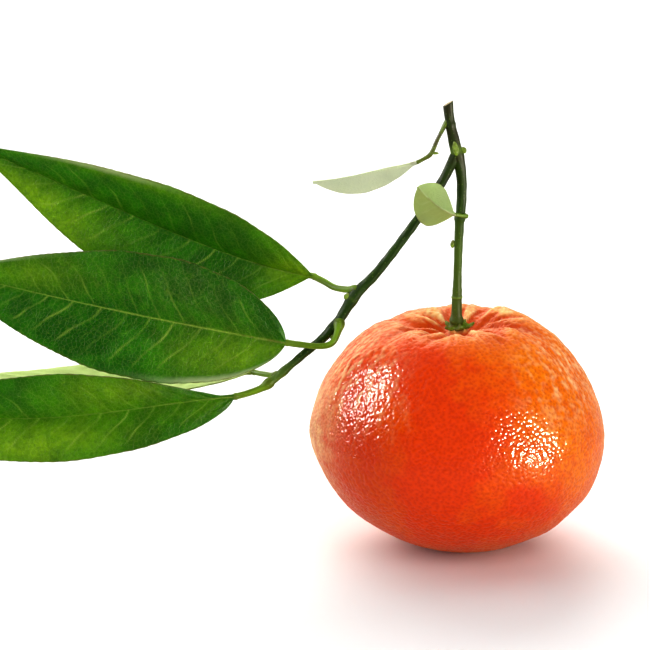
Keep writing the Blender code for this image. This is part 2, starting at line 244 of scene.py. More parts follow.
PETIOLE_FULLNESS = 1.14
PETIOLE_TAIL = ((0.0, 0.95), (0.02, 0.80), (0.055, 0.50))  # place along the midrib, share of thickness
BLADE_THICKNESS = 0.45 * MM
BLADE_TAIL = 0.5 * MM
VEIN_WIDTH = 0.19 * MM
MINOR_VEIN_WIDTH = 0.16 * MM
MINOR_VEIN_STRENGTH = 0.14
QUILT_HEIGHT = 0.17 * MM
# Where the painted glints lie on a blade.
GLINT_PLACE = (0.24, 0.60, 0.15, 0.36)  # along, across, reach along, reach across

# Each bud: its centre and its half sizes, in millimetres, and its lean in degrees.
BUDS = {
    "bud_fork": ((-3.0, -1.40, 88.2), (0.60, 0.55, 1.60), -12.0),
    "bud_stem_right": ((-1.2, -0.1, 87.6), (0.55, 0.50, 0.75), -25.0),
    "bud_stem_left": ((-3.3, 0.0, 67.0), (0.45, 0.50, 0.90), 5.0),
    "bud_axil_upper": ((-26.1, -5.4, 56.7), (0.60, 0.55, 0.80), 30.0),
    "bud_axil_middle": ((-29.0, -7.2, 48.3), (0.55, 0.55, 0.80), 40.0),
    "spur_top": ((-7.3, -0.4, 87.0), (0.75, 0.35, 0.30), 0.0),
}

BUD_ROUGHNESS = 0.03 * MM

# Set, lights and camera.
FLOOR_SIZE = 8.0
FLOOR_DROP = 0.1 * MM
FLOOR_SHOWN = (0.86, 0.86, 0.86)
FLOOR_BOUNCE = (0.64, 0.54, 0.46)
WORLD_WEIGHTS = {"X": -0.50, "Y": 1.7, "Z": 1.0}
WORLD_SHINE = 0.48
# Each sun: the direction it comes from, its strength and its angle in degrees.
SUNS = {
    "back_light": ((-0.20, 1.0, 0.58), 2.6, 50.0),
    "front_fill": ((0.25, -1.0, 0.42), 2.4, 80.0),
    "left_fill": ((-1.0, 0.65, 0.30), 1.25, 50.0),
}
# Each softbox: its direction and distance from the fruit, its width, height, radiance and tint.
SOFTBOXES = {
    "softbox_back": ((-0.25, 0.85, 0.55), 0.60, 0.62, 0.50, 2.3, (1.0, 0.86, 0.60)),
    "softbox_left": ((-0.895, 0.11, 0.47), 0.60, 0.20, 0.24, 98.0, (0.95, 0.92, 0.90)),
    "softbox_right": ((0.823, -0.568, 0.06), 0.50, 0.074, 0.074, 720.0, (1.0, 0.93, 0.74)),
}
GAMMA = 0.80
CAMERA_ELEVATION = 15.0
CAMERA_DISTANCE = 0.65
CAMERA_LENS = 164.46
CAMERA_ASIDE = -28.9 * MM
CAMERA_RISE = 22.5 * MM


# ------------------------ small helpers


def smooth_step(low, high, value):
    share = np.clip((value - low) / (high - low), 0.0, 1.0)
    return share * share * (3.0 - 2.0 * share)


def unit(vectors):
    return vectors / np.maximum(np.linalg.norm(vectors, axis=-1, keepdims=True), 1e-12)


def swell(points, wavelength, seed, waves=18):
    """Smooth random relief, about -1 to 1, made of sine waves that run in random directions."""
    rng = np.random.default_rng(seed)
    directions = unit(rng.normal(size=(waves, 3)))
    pitches = 2.0 * math.pi / (wavelength * rng.uniform(0.7, 1.5, waves))
    phases = rng.uniform(0.0, 2.0 * math.pi, waves)
    total = np.zeros(points.shape[:-1])
    for direction, pitch, phase in zip(directions, pitches, phases):
        total += np.sin(points @ direction * pitch + phase)
    return total / math.sqrt(waves)


def turn_angles(count):
    return np.linspace(0.0, 2.0 * math.pi, count, endpoint=False)


def grid_faces(rows, columns, closed=False):
    """Quads over a grid of points; closed joins the last column to the first."""
    row = np.arange(rows - 1)[:, None]
    column = np.arange(columns if closed else columns - 1)[None, :]
    beside = (column + 1) % columns
    corners = (row * columns + column, row * columns + beside,
               (row + 1) * columns + beside, (row + 1) * columns + column)
    return np.stack([np.broadcast_to(corner, corners[0].shape) for corner in corners], -1).reshape(-1, 4)


def blot(t, s, along, across, reach_t, reach_s):
    """A soft oval patch on a blade, from 0 to 1."""
    return np.exp(-(((t - along) / reach_t) ** 2) - (((s - across) / reach_s) ** 2))


def store_marks(mesh, marks):
    """Stores named numbers, or vectors, on a mesh's points."""
    for mark, values in marks.items():
        values = np.asarray(values, np.float32)
        is_vector = values.ndim > 1
        attribute = mesh.attributes.new(mark, "FLOAT_VECTOR" if is_vector else "FLOAT", "POINT")
        attribute.data.foreach_set("vector" if is_vector else "value", values.ravel())


def new_mesh(name, points, faces, marks):
    """A smooth mesh with named numbers stored on its points."""
    mesh = bpy.data.meshes.new(name)
    mesh.from_pydata(np.asarray(points).reshape(-1, 3).tolist(), [], np.asarray(faces).tolist())
    store_marks(mesh, marks)
    bm = bmesh.new()
    bm.from_mesh(mesh)
    bmesh.ops.remove_doubles(bm, verts=bm.verts, dist=0.001 * MM)
    bmesh.ops.recalc_face_normals(bm, faces=bm.faces)
    bm.to_mesh(mesh)
    bm.free()
    mesh.shade_smooth()
    return mesh


def add_object(name, data):
    made = bpy.data.objects.new(name, data)
    bpy.context.scene.collection.objects.link(made)
    return made


def add_piece(name, mesh, material, node):
    """Shows a mesh in place of a CAD node."""
    piece = add_object(name, mesh)
    mesh.materials.append(material)
    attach(piece, "root")
    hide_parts(node)
    return piece


# ------------------------ materials


class NodeTree:
    """The nodes of a material or a world, built up from short calls. Sizes are in metres."""

    def __init__(self, owner, space):
        owner.use_nodes = True
        self.nodes = owner.node_tree.nodes
        self.links = owner.node_tree.links
        self.nodes.clear()
        self.place = self.add("TexCoord").outputs[space]

    def feed(self, socket, value):
        if isinstance(value, bpy.types.NodeSocket):
            self.links.new(value, socket)
        else:
            socket.default_value = value

    def add(self, kind, **inputs):
        """A new node, with numbers or links for its inputs; an underscore stands for a blank."""
        node = self.nodes.new("ShaderNode" + kind)
        for name, value in inputs.items():
            self.feed(node.inputs[name.replace("_", " ")], value)
        return node

    def ray(self, kind):
        return self.add("LightPath").outputs[kind]

    def mark(self, name, output="Fac"):
        node = self.add("Attribute")
        node.attribute_name = name
        return node.outputs[output]

    def noise(self, size, detail=3.0, roughness=0.5, place=None):
        node = self.add("TexNoise", Vector=place or self.place, Scale=1.0 / size, Detail=detail,
                        Roughness=roughness)
        return node.outputs["Fac"]

    def cells(self, size, feature="F1"):
        node = self.add("TexVoronoi", Vector=self.place, Scale=1.0 / size)
        node.feature = feature
        return node.outputs["Distance"]

    def calc(self, operation, first, second):
        node = self.add("Math")
        node.operation = operation
        self.feed(node.inputs[0], first)
        self.feed(node.inputs[1], second)
        return node.outputs[0]

    def fade(self, value, low, high, start=0.0, end=1.0):
        node = self.add("MapRange", Value=value, From_Min=low, From_Max=high, To_Min=start, To_Max=end)
        node.interpolation_type = "SMOOTHSTEP"
        return node.outputs["Result"]

    def mix(self, share, first, second):
        node = self.add("Mix")
        node.data_type = "RGBA"
        self.feed(node.inputs[0], share)
        for socket, colour in ((node.inputs[6], first), (node.inputs[7], second)):
            self.feed(socket, (*colour, 1.0) if isinstance(colour, tuple) else colour)
        return node.outputs[2]

    def bump(self, height, depth, under=None):
        node = self.add("Bump", Distance=depth, Height=height)
        if under is not None:
            self.links.new(under, node.inputs["Normal"])
        return node.outputs["Normal"]

    def scaled(self, value, share):
        return self.calc("MULTIPLY", value, share)


class Paint(NodeTree):
    """A procedural material."""

    def __init__(self, name):
        self.material = bpy.data.materials.new(name)
        super().__init__(self.material, "Object")

    def surface(self, colour, roughness, normal=None, glow=None, **constants):
        """The finished surface; glow is the colour of the light that comes through, and its share."""
        shader = self.add("BsdfPrincipled", Base_Color=colour, Roughness=roughness, **constants)
        if normal is not None:
            self.links.new(normal, shader.inputs["Normal"])
        result = shader.outputs[0]
        if glow is not None:
            tint, share = glow
            through = self.add("BsdfTranslucent", Color=tint, Normal=normal)
            both = self.add("MixShader")
            both.inputs[0].default_value = share
            self.links.new(result, both.inputs[1])
            self.links.new(through.outputs[0], both.inputs[2])
            result = both.outputs[0]
        self.add("OutputMaterial", Surface=result)
        return self.material


def paint_peel():
    """Waxy orange rind: broad red and yellow patches, fine mottling and dark oil glands, with painted light
    and shade: a yellower right and upper side, shade low on the left, a rim light on the left edge, sheen on
    the crown, shade in the folds and highlights on the ridges.
    """
    p = Paint("mandarin_peel")
    # The yellow mark is painted light, yellower and lighter on the right and upper side; the noise adds
    # random yellow patches.
    patches = p.calc("ADD", p.mark("yellow"), p.fade(p.noise(13 * MM, 3.0, 0.55), 0.36, 0.66, -0.22, 0.22))
    mottle = p.fade(p.noise(1.9 * MM, 4.0, 0.65), 0.40, 0.66)
    specks = p.fade(p.cells(0.95 * MM), 0.08, 0.34, 1.0, 0.0)
    colour = p.mix(patches, PEEL_RED, PEEL_YELLOW)
    # Several of these layers are painted light and shade: shade low on the left, a rim light on the left
    # edge, sheen on the crown, shade in the folds and highlights on the ridges; the mottle, specks and
    # glands are the peel's own colour.
    layers = (
        (p.mark("painted_low_left_shade"), 0.55, PEEL_LOW_LEFT_SHADE), (p.mark("painted_left_rim_light"), 1.0, PEEL_LEFT_RIM_LIGHT), (mottle, 0.30, PEEL_MOTTLE),
        (p.mark("crown"), 0.92, PEEL_CROWN_SHEEN), (p.mark("painted_fold_shade"), 0.97, PEEL_FOLD_SHADE),
        (p.mark("painted_ridge_highlight"), 1.0, PEEL_RIDGE_HIGHLIGHT), (specks, 0.22, PEEL_SPECK), (p.mark("gland"), 0.45, PEEL_GLAND),
    )
    for pattern, share, tone in layers:
        colour = p.mix(p.scaled(pattern, share), colour, tone)
    roughness = p.fade(p.noise(2.6 * MM, 4.0, 0.6), 0.3, 0.7, 0.34, 0.50)
    pits = p.fade(p.cells(0.64 * MM), 0.05, 0.50)
    normal = p.bump(pits, 0.050 * MM)
    normal = p.bump(p.noise(0.28 * MM, 2.0, 0.5), 0.026 * MM, normal)
    return p.surface(
        colour, roughness, normal, Specular_IOR_Level=0.05, Specular_Tint=(1.0, 0.60, 0.25, 1.0),
        Coat_Weight=0.34, Coat_Roughness=0.155,
        Sheen_Weight=0.30, Sheen_Roughness=0.35, Sheen_Tint=(1.0, 0.58, 0.20, 1.0))


def paint_leaf(name, dark, light, bright, under, rib, through, share, gloss):
    """A leaf blade: upper and under faces, pale veins, fine vein network and glossy skin, with painted light
    through the blade, painted shade, painted glints and a painted rim light on rolled margins.
    """
    p = Paint(name)
    patches = p.fade(p.noise(7 * MM, 4.0, 0.6), 0.34, 0.68)
    # Painted light: where light comes through the blade, mixed towards the bright colour.
    sunlit = p.scaled(p.mark("sunny"), p.fade(p.noise(4 * MM, 3.0), 0.25, 0.70, 0.55, 1.0))
    network = p.fade(p.cells(0.85 * MM, "DISTANCE_TO_EDGE"), 0.02, 0.10, 1.0, 0.0)
    mottle = p.fade(p.noise(0.8 * MM, 3.0, 0.7), 0.35, 0.75)
    # Painted glints: fine pale reflections over one patch of the blade.
    glints = p.scaled(p.mark("painted_glints"), p.fade(p.noise(0.55 * MM, 4.0, 0.7), 0.46, 0.64, 0.05, 0.50))
    stem_like = p.mix(p.fade(p.noise(4.5 * MM, 2.0), 0.56, 0.66, 0.0, 0.7), rib, RIB_BROWN)
    worn = p.scaled(p.fade(p.mark("edge"), 0.965, 0.998), p.fade(p.noise(2.2 * MM), 0.35, 0.60, 0.15, 0.75))
    # The deep mark is painted shade, mixed towards the dark green.
    colour = p.mix(p.calc("SUBTRACT", patches, p.mark("deep")), dark, light)
    layers = (
        (sunlit, 1.0, bright), (network, 0.15, rib), (mottle, 0.48, dark), (p.mark("below"), 0.80, under),
        # The glints and the pale rim along rolled margins are painted light.
        (glints, 1.0, LEAF_GLINT), (p.mark("pale"), 0.90, LEAF_RIM_LIGHT), (p.mark("vein"), 0.78, rib),
        (p.mark("rib"), 0.90, stem_like), (worn, 1.0, LEAF_WORN_EDGE),
    )
    for pattern, strength, tone in layers:
        colour = p.mix(p.scaled(pattern, strength), colour, tone)
    roughness = p.fade(p.noise(1.5 * MM, 4.0, 0.6), 0.3, 0.7, gloss, gloss + 0.14)
    normal = p.bump(p.noise(0.60 * MM, 4.0, 0.7), 0.085 * MM)
    normal = p.bump(network, 0.030 * MM, normal)
    return p.surface(colour, roughness, normal, (through, share), Specular_IOR_Level=0.13)


def paint_bark(name, green, brown, pale, wax):
    """Young citrus bark: green with lengthwise grey-brown streaks, pale dots and a pale cut end."""
    p = Paint(name)
    grain = p.mark("grain", "Vector")
    streaks = p.fade(p.noise(0.9 * MM, 4.0, 0.65, place=grain), 0.38, 0.66)
    blotch = p.fade(p.noise(3.2 * MM, 3.0, 0.6), 0.40, 0.66)
    age = p.scaled(p.mark("age"), p.calc("ADD", 0.45, p.scaled(blotch, 0.55)))
    dots = p.fade(p.cells(0.75 * MM), 0.10, 0.28, 0.26, 0.0)
    wood = p.mix(p.fade(p.noise(0.35 * MM, 3.0), 0.3, 0.7), *CUT_WOOD)
    colour = p.mix(streaks, green, tuple(1.7 * value for value in green))
    layers = ((age, brown), (dots, pale), (p.mark("scar"), pale), (p.mark("cut"), wood))
    for pattern, tone in layers:
        colour = p.mix(pattern, colour, tone)
    roughness = p.fade(streaks, 0.0, 1.0, wax, wax + 0.2)
    normal = p.bump(p.noise(0.6 * MM, 4.0, 0.7, place=grain), 0.07 * MM)
    normal = p.bump(p.noise(0.25 * MM, 3.0, 0.6), 0.03 * MM, normal)
    return p.surface(colour, roughness, normal, Specular_IOR_Level=0.10)


def make_materials():
    return {
        "peel": paint_peel(),
        "leaf_dark": paint_leaf(
            "leaf_blade_dark", dark=(0.008, 0.098, 0.0002), light=(0.041, 0.262, 0.0004),
            bright=(0.300, 0.540, 0.004), under=(0.220, 0.380, 0.075), rib=(0.440, 0.600, 0.090),
            through=(0.20, 0.52, 0.005, 1.0), share=0.26, gloss=0.32),
        # The rear blade's pale colours are partly its paler under side and partly painted sheen of the light
        # behind it.
        "leaf_rear": paint_leaf(
            "leaf_blade_rear", dark=(0.18, 0.32, 0.02), light=(0.48, 0.66, 0.08),
            bright=(0.52, 0.70, 0.10), under=(0.84, 0.96, 0.46), rib=(0.70, 0.84, 0.40),
            through=(0.70, 0.90, 0.26, 1.0), share=0.34, gloss=0.40),
        "leaf_pale": paint_leaf(
            "leaf_blade_pale", dark=(0.28, 0.37, 0.22), light=(0.70, 0.74, 0.64),
            bright=(0.74, 0.80, 0.64), under=(0.75, 0.81, 0.66), rib=(0.82, 0.88, 0.66),
            through=(0.78, 0.88, 0.50, 1.0), share=0.35, gloss=0.45),
        "leaf_young_green": paint_leaf(
            "leaf_blade_young", dark=(0.09, 0.18, 0.02), light=(0.30, 0.45, 0.09),
            bright=(0.34, 0.25, 0.03), under=(0.52, 0.67, 0.29), rib=(0.62, 0.74, 0.40),
            through=(0.46, 0.66, 0.16, 1.0), share=0.30, gloss=0.45),
        "bark": paint_bark("bark_green", (0.014, 0.042, 0.0005), (0.028, 0.023, 0.004),
                           (0.24, 0.40, 0.05), 0.46),
        "petiole_green": paint_bark("petiole_green", (0.120, 0.220, 0.006), (0.060, 0.058, 0.010),
                                    (0.32, 0.44, 0.10), 0.36),
        "calyx_green": paint_bark("calyx_green", (0.120, 0.190, 0.010), (0.190, 0.160, 0.045),
                                  (0.42, 0.48, 0.16), 0.58),
        "bud_green": paint_bark("bud_green", (0.170, 0.280, 0.030), (0.150, 0.110, 0.040),
                                (0.42, 0.52, 0.18), 0.52),
    }


# ------------------------ fruit


def fruit_form(directions):
    """The CAD fruit's surface for unit vectors that give latitude and longitude."""
    latitude = np.arcsin(np.clip(directions[..., 2], -1.0, 1.0))
    longitude = np.arctan2(directions[..., 1], directions[..., 0])
    upper = latitude >= 0.0
    rising = np.maximum(np.sin(latitude), 0.0)
    radius = FRUIT_RADIUS * np.maximum(np.cos(latitude), 0.0) ** np.where(upper, 0.89, 1.02)
    basin = BASIN_DEPTH * np.exp(-((radius / BASIN_RADIUS) ** 2))
    rise = np.where(upper, FRUIT_UPPER * rising ** 1.3 - basin, FRUIT_LOWER * np.sin(latitude))
    crown = rising * np.minimum(radius / BASIN_RADIUS, 1.0)
    radius = radius + LOBE_DEPTH * np.cos(LOBES * longitude) * crown
    x = radius * np.cos(longitude)
    y = radius * np.sin(longitude) * FRUIT_DEPTH_RATIO
    rise = rise + FRUIT_TILT * x * np.maximum(rise, 0.0) / FRUIT_UPPER
    lean = FRUIT_LEAN * np.where(upper, np.minimum(radius / LEAN_RADIUS, 1.0), 1.0)
    x = x + FRUIT_CENTRE_X + lean * rise
    z = np.maximum(rise + FRUIT_LOWER - FLAT_DEPTH, 0.0)
    return np.stack([x, y, z], -1)


def gland_centres():
    """Oil glands spread evenly over the sphere of directions, then shaken out of line."""
    rng = np.random.default_rng(11)
    index = np.arange(GLAND_COUNT) + 0.5
    height = 1.0 - 2.0 * index / GLAND_COUNT
    turn = index * math.pi * (3.0 - math.sqrt(5.0))
    level = np.sqrt(1.0 - height ** 2)
    even = np.stack([level * np.cos(turn), level * np.sin(turn), height], -1)
    return unit(even + rng.normal(scale=GLAND_SHAKE, size=even.shape))


def gland_relief(points):
    """How deep each point lies in its nearest oil gland, from 0 to 1."""
    rng = np.random.default_rng(12)
    centres = fruit_form(gland_centres())
    sizes = GLAND_RADIUS * rng.uniform(0.65, 1.25, len(centres))
    tree = kdtree.KDTree(len(centres))
    for index, centre in enumerate(centres):
        tree.insert(centre, index)
    tree.balance()
    found = np.array([tree.find(point)[1:] for point in points])
    return np.exp(-((found[:, 1] / sizes[found[:, 0].astype(int)]) ** 2))


def pucker_relief(points, axis):
    """Depth of the folds that run out from the stem basin."""
    offset = points[:, :2] - axis[:2]
    reach = np.hypot(offset[:, 0], offset[:, 1])
    bearing = np.arctan2(offset[:, 1], offset[:, 0])
    depth = np.zeros(len(points))
    for index, (degrees, start, end, fold, width) in enumerate(PUCKERS):
        wander = 0.10 * np.sin(reach / (2.6 * MM) + 1.7 * index)
        away = np.angle(np.exp(1j * (bearing - math.radians(degrees) - wander)))
        spread = width * MM * (0.70 + 1.15 * reach / (10.0 * MM))
        window = smooth_step(start * MM * 0.5, start * MM * 1.3, reach)
        window = window * (1.0 - smooth_step(end * MM * 0.45, end * MM * 1.15, reach))
        depth += PUCKER_DEPTH * fold * window * np.exp(-((away * reach / spread) ** 2))
    return depth * (points[:, 2] > 0.5 * FRUIT_UPPER)


def streak_pattern(points, axis, reach):
    """Fine ridges that run out from the stem, near it and over the shoulder, from about -1 to 1."""
    bearing = np.arctan2(points[:, 1] - axis[1], points[:, 0] - axis[0])
    polar = np.stack([STREAK_RING * np.cos(bearing), STREAK_RING * np.sin(bearing), 0.28 * reach], -1)
    near = 0.55 * swell(polar, 2.2 * MM, 31) + 0.45 * swell(polar, 1.2 * MM, 32)
    near = near * smooth_step(2.5 * MM, 6.0 * MM, reach) * (1.0 - smooth_step(14.0 * MM, 27.0 * MM, reach))
    far = 0.5 * swell(polar, 1.1 * MM, 34) + 0.5 * swell(polar, 0.6 * MM, 35)
    return near, far * smooth_step(8.0 * MM, 16.0 * MM, reach)


def fruit_mesh():
    """A fine ball with the CAD fruit's shape, and its points and normals."""
    bm = bmesh.new()
    bmesh.ops.create_icosphere(bm, subdivisions=PEEL_SUBDIVISIONS, radius=1.0)
    mesh = bpy.data.meshes.new("fruit")
    bm.to_mesh(mesh)
    bm.free()
    directions = np.empty(len(mesh.vertices) * 3)
    mesh.vertices.foreach_get("co", directions)
    plain = fruit_form(unit(directions.reshape(-1, 3)))
    low, high = (np.array(corner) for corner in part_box("fruit"))
    stretch = (high - low) / (plain.max(0) - plain.min(0))
    plain = low + (plain - plain.min(0)) * stretch
    mesh.vertices.foreach_set("co", plain.ravel())
    mesh.update()
    normals = np.empty(len(mesh.vertices) * 3)
    mesh.vertex_normals.foreach_get("vector", normals)
    return mesh, plain, normals.reshape(-1, 3)


def make_fruit(material):
    mesh, plain, normals = fruit_mesh()
    axis = fruit_form(UP)
    reach = np.hypot(plain[:, 0] - axis[0], plain[:, 1] - axis[1])
    top = plain[:, 2] > 0.5 * FRUIT_UPPER
    above_middle = plain[:, 2] - 0.5 * plain[:, 2].max()
    leftward = FRUIT_CENTRE_X - plain[:, 0]

    gland = gland_relief(plain)
    pucker = pucker_relief(plain, axis)
    streak, far_streak = (pattern * top for pattern in streak_pattern(plain, axis, reach))
    flank = smooth_step(7.0 * MM, 24.0 * MM, np.abs(leftward))
    flank = flank * smooth_step(1.0 * MM, 16.0 * MM, above_middle)
    scar = np.where(top, 0.0, np.exp(-((reach / SCAR_RADIUS) ** 2)))
    height = -GLAND_DEPTH * gland - pucker + STREAK_HEIGHT * (streak + 0.45 * far_streak * flank)
    for index, (wavelength, swelling) in enumerate(SWELLS):
        height = height + swelling * swell(plain, wavelength, 20 + index)
    calm = smooth_step(0.0, 1.5 * MM, plain[:, 2])
    height = height * (0.15 + 0.85 * calm) - PEEL_SINK * calm
    points = plain + normals * height[:, None]
    points[:, 2] = np.maximum(points[:, 2], 0.0) + SCAR_DEPTH * scar
    mesh.vertices.foreach_set("co", points.ravel())

    crown = np.where(top, np.exp(-((reach / CROWN_REACH) ** 4)), 0.0)
    shoulder = np.where(top, np.exp(-((reach / SHOULDER_REACH) ** 2)), 0.0)
    # Painted shade: dark strokes between the ridges over the shoulder, and darker folds round the stem.
    shaded = 0.60 * np.clip(-streak - 0.20, 0.0, 1.0) * shoulder
    painted_fold_shade = np.clip(pucker / (0.90 * MM) - 0.55 * streak * crown + shaded, 0.0, 1.0)
    # Painted highlights: cream strokes on the ridges near the stem and over the left shoulder.
    highlight_fleck = swell(plain, 1.5 * MM, 33) * smooth_step(3.0 * MM, 7.0 * MM, reach)
    painted_ridge_highlight = np.clip(0.75 * streak + 0.50 * highlight_fleck, 0.0, 0.90) * crown * (1.0 - painted_fold_shade)
    flank_painted_highlight = flank * np.clip(0.12 + 0.42 * far_streak + 0.24 * highlight_fleck, 0.0, 0.65)
    left_rim_dapple = np.clip(0.76 + 0.22 * swell(plain, 6.0 * MM, 36) + 0.18 * swell(plain, 2.0 * MM, 37), 0.0, 1.0)
    low_down = 1.0 - smooth_step(2.0 * MM, 20.0 * MM, above_middle)
    store_marks(mesh, {
        "gland": gland,
        # painted sheen on the crown round the stem
        "crown": crown,
        "painted_fold_shade": painted_fold_shade,
        # painted light: the right and upper side painted yellower and lighter
        "yellow": smooth_step(1.0 * MM, 33.0 * MM, plain[:, 0] + 0.65 * above_middle),
        # painted rim light along the far left edge, broken up by noise
        "painted_left_rim_light": left_rim_dapple * smooth_step(24.0 * MM, 34.0 * MM, leftward),
        "painted_ridge_highlight": np.maximum(painted_ridge_highlight, flank_painted_highlight),
        # painted shade: darker red low on the left side
        "painted_low_left_shade": smooth_step(9.0 * MM, 22.0 * MM, leftward) * low_down,
    })
    mesh.update()
    mesh.shade_smooth()
    return add_piece("fruit_peel", mesh, material, "fruit")


def make_calyx(material):
    """A ragged five-pointed star of dry green tissue on the floor of the basin."""
    rows, columns = 26, 160
    axis = fruit_form(UP)
    angle = turn_angles(columns)[None, :]
    share = np.linspace(0.0, 1.0, rows)[:, None]
    star = 0.58 + 0.60 * np.abs(np.cos(0.5 * CALYX_LOBES * angle + 0.35)) ** 2.6
    star = star + 0.06 * np.sin(3.0 * angle + 0.4) + 0.05 * np.sin(13.0 * angle + 1.0)
    star = star + 0.045 * np.sin(29.0 * angle + 2.0)
    offset = CALYX_RADIUS * star * share
    x = axis[0] + offset * np.cos(angle)
    y = axis[1] + offset * np.sin(angle)
    latitude = np.arccos(np.clip(offset / FRUIT_RADIUS, 0.0, 1.0) ** (1.0 / 0.89))
    floor_points = fruit_form(np.stack([np.zeros_like(latitude), np.cos(latitude), np.sin(latitude)], -1))
    floor = floor_points[..., 2] + FRUIT_TILT * (x - axis[0])
    flat = np.stack([x, y, floor * np.ones_like(angle)], -1)
    rough = swell(flat, 0.9 * MM, 41)
    thick = CALYX_THICKNESS * (1.0 - 0.72 * share ** 1.5) + 0.09 * MM * rough * (1.0 - 0.4 * share)
    thick = thick + 0.75 * MM * (1.0 - smooth_step(0.30, 0.72, share))
    curl = 0.22 * MM * smooth_step(0.75, 1.15, share * star) * (1.0 + 0.8 * np.sin(5.0 * angle + 2.0))
    top = flat + UP * (thick + curl)[..., None]
    bottom = flat + UP * (0.9 * curl - CALYX_SINK)[..., None]
    points = np.concatenate([top, bottom[::-1]])
    marks = {
        "age": np.clip(0.35 + 0.5 * swell(points, 1.6 * MM, 42), 0.0, 1.0).ravel(),
        "scar": np.clip(swell(points, 1.1 * MM, 43) - 0.7, 0.0, 1.0).ravel() * 0.8,
        "grain": points.reshape(-1, 3),
    }
    mesh = new_mesh("calyx", points, grid_faces(2 * rows, columns, closed=True), marks)
    return add_piece("calyx_star", mesh, material, "calyx")


# ------------------------ stem, twig and petioles


def spline(route, spacing):
    """Points and radii along a Catmull-Rom curve through a route given in millimetres."""
    knots = np.array(route) * MM
    knots = np.vstack([2.0 * knots[0] - knots[1], knots, 2.0 * knots[-1] - knots[-2]])
    stretches = []
    for before, start, end, after in zip(knots, knots[1:], knots[2:], knots[3:]):
        steps = max(int(np.linalg.norm((end - start)[:3]) / spacing), 2)
        t = (np.arange(steps) / steps)[:, None]
        stretches.append(0.5 * (
            2.0 * start
            + (end - before) * t
            + (2.0 * before - 5.0 * start + 4.0 * end - after) * t ** 2
            + (3.0 * start - before - 3.0 * end + after) * t ** 3
        ))
    stretches.append(knots[-2][None])
    return np.vstack(stretches)


def sweep(samples, sides, relief, slant=0.0):
    """Rings of points round a route, closed at both ends, and what each point needs for its bark."""
    centre, radius = samples[:, :3], samples[:, 3]
    tangent = unit(np.gradient(centre, axis=0))
    length = np.concatenate([[0.0], np.cumsum(np.linalg.norm(np.diff(centre, axis=0), axis=1))])
    normal = np.empty_like(centre)
    current = np.cross(tangent[0], (0.31, 0.93, 0.17))
    for index, direction in enumerate(tangent):
        current = unit(current - direction * current.dot(direction))
        normal[index] = current
    binormal = np.cross(tangent, normal)
    angle = 2.0 * math.pi * np.arange(sides) / sides
    reach = radius[:, None] + relief(length[:, None], angle[None, :])
    around = np.cos(angle)[:, None] * normal[:, None, :] + np.sin(angle)[:, None] * binormal[:, None, :]
    rings = centre[:, None, :] + reach[..., None] * around
    if slant:
        near_end = smooth_step(length[-1] - 2.0 * MM, length[-1], length)[:, None]
        rings[..., 2] += slant * near_end * (rings[..., 0] - centre[:, None, 0])
    grain = np.stack(np.broadcast_arrays(
        np.cos(angle) * radius[:, None], np.sin(angle) * radius[:, None], 0.12 * length[:, None]), -1)
    first, last = (
        [ring.mean(0) + (ring - ring.mean(0)) * share for share in CAPS] for ring in (rings[0], rings[-1]))
    rings = np.concatenate([first[::-1], rings, last])
    grain, length = (
        np.concatenate([[values[0]] * len(CAPS), values, [values[-1]] * len(CAPS)])
        for values in (grain, length))
    return rings, grain, length


def make_stick(name, samples, material, node, relief, age, scar, sides=36, slant=0.0, cut_end=False):
    """A stem-like piece; age and scar are functions of the length along it, in metres."""
    rings, grain, length = sweep(samples, sides, relief, slant)
    marks = {
        "age": np.repeat(age(length), sides),
        "scar": np.repeat(scar(length), sides),
        "grain": grain.reshape(-1, 3),
    }
    if cut_end:
        marks["cut"] = np.repeat(np.arange(len(length)) >= len(length) - len(CAPS), sides)
    mesh = new_mesh(name, rings, grid_faces(len(rings), sides, closed=True), marks)
    return add_piece(name, mesh, material, node)


def ring_at(length, place, width):
    return np.exp(-(((length - place) / width) ** 2))


def bark_relief(seed, ridges, depth, rings):
    """Lengthwise ridges and small bumps, with swollen rings as place, width and height in mm."""
    rng = np.random.default_rng(seed)
    phases = rng.uniform(0.0, 2.0 * math.pi, 4)

    def relief(length, angle):
        twist = 0.5 * np.sin(length / (9.0 * MM) + phases[0])
        height = depth * np.sin(ridges * (angle + twist) + phases[1])
        height = height + 0.5 * depth * np.sin(2 * ridges * angle + length / (1.1 * MM) + phases[2])
        height = height + 0.6 * depth * np.sin(length / (0.55 * MM) + 3.0 * np.cos(angle + phases[3]))
        for place, width, swelling in rings:
            height = height + swelling * MM * ring_at(length, place * MM, width * MM)
        return height

    return relief


def make_stem(material):
    samples = spline(STEM_ROUTE, 0.16 * MM)
    relief = bark_relief(3, 5, 0.035 * MM, (
        (0.6, 0.9, 0.45), (5.9, 0.25, 0.13), (7.5, 0.5, 0.06), (23.3, 0.55, 0.22), (37.0, 1.2, 0.12),
        (44.0, 0.5, 0.10),
    ))

    def age(length):
        base = 1.0 - smooth_step(3.0 * MM, 9.0 * MM, length)
        crown = smooth_step(24.0 * MM, 40.0 * MM, length)
        return np.clip(0.05 + 0.80 * base + 0.80 * crown, 0.0, 1.0)

    def scar(length):
        fresh = 1.0 - smooth_step(14.0 * MM, 30.0 * MM, length)
        rings = 0.4 * ring_at(length, 5.9 * MM, 0.2 * MM) + 0.45 * ring_at(length, 38.4 * MM, 0.9 * MM)
        return np.clip(rings + 0.26 * fresh, 0.0, 1.0)

    return make_stick("main_stem_bark", samples, material, "main_stem", relief, age, scar,
                      slant=0.46, cut_end=True)


